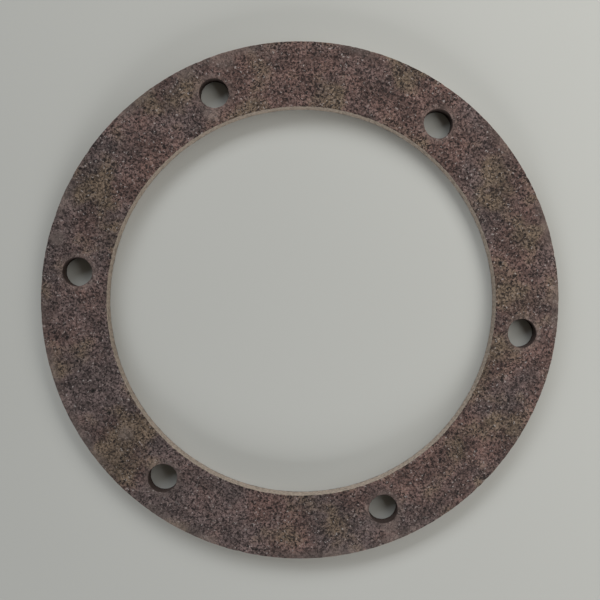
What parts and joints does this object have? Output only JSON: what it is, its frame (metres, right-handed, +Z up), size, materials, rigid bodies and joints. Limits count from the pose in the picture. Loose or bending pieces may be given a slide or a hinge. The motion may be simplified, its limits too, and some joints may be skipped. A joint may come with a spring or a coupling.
{
  "type": "rubber flange gasket",
  "caption": "Flat ring gasket of granular cork-rubber sheet that seals a bolted round flange joint around a wide central bore.",
  "frame": {"origin": "centre of the bore on the bottom face", "axes": "+Z up along the bore axis, from the bottom face to the top face; +X through the centre of one bolt hole"},
  "size_m": [0.12, 0.12, 0.003],
  "materials": {
    "cork_rubber": "matte granular cork-rubber, brown with pale and dark grains, paler on its cut edges"
  },
  "bodies": {
    "root": {"gasket": "cork_rubber"}
  },
  "joints": []
}
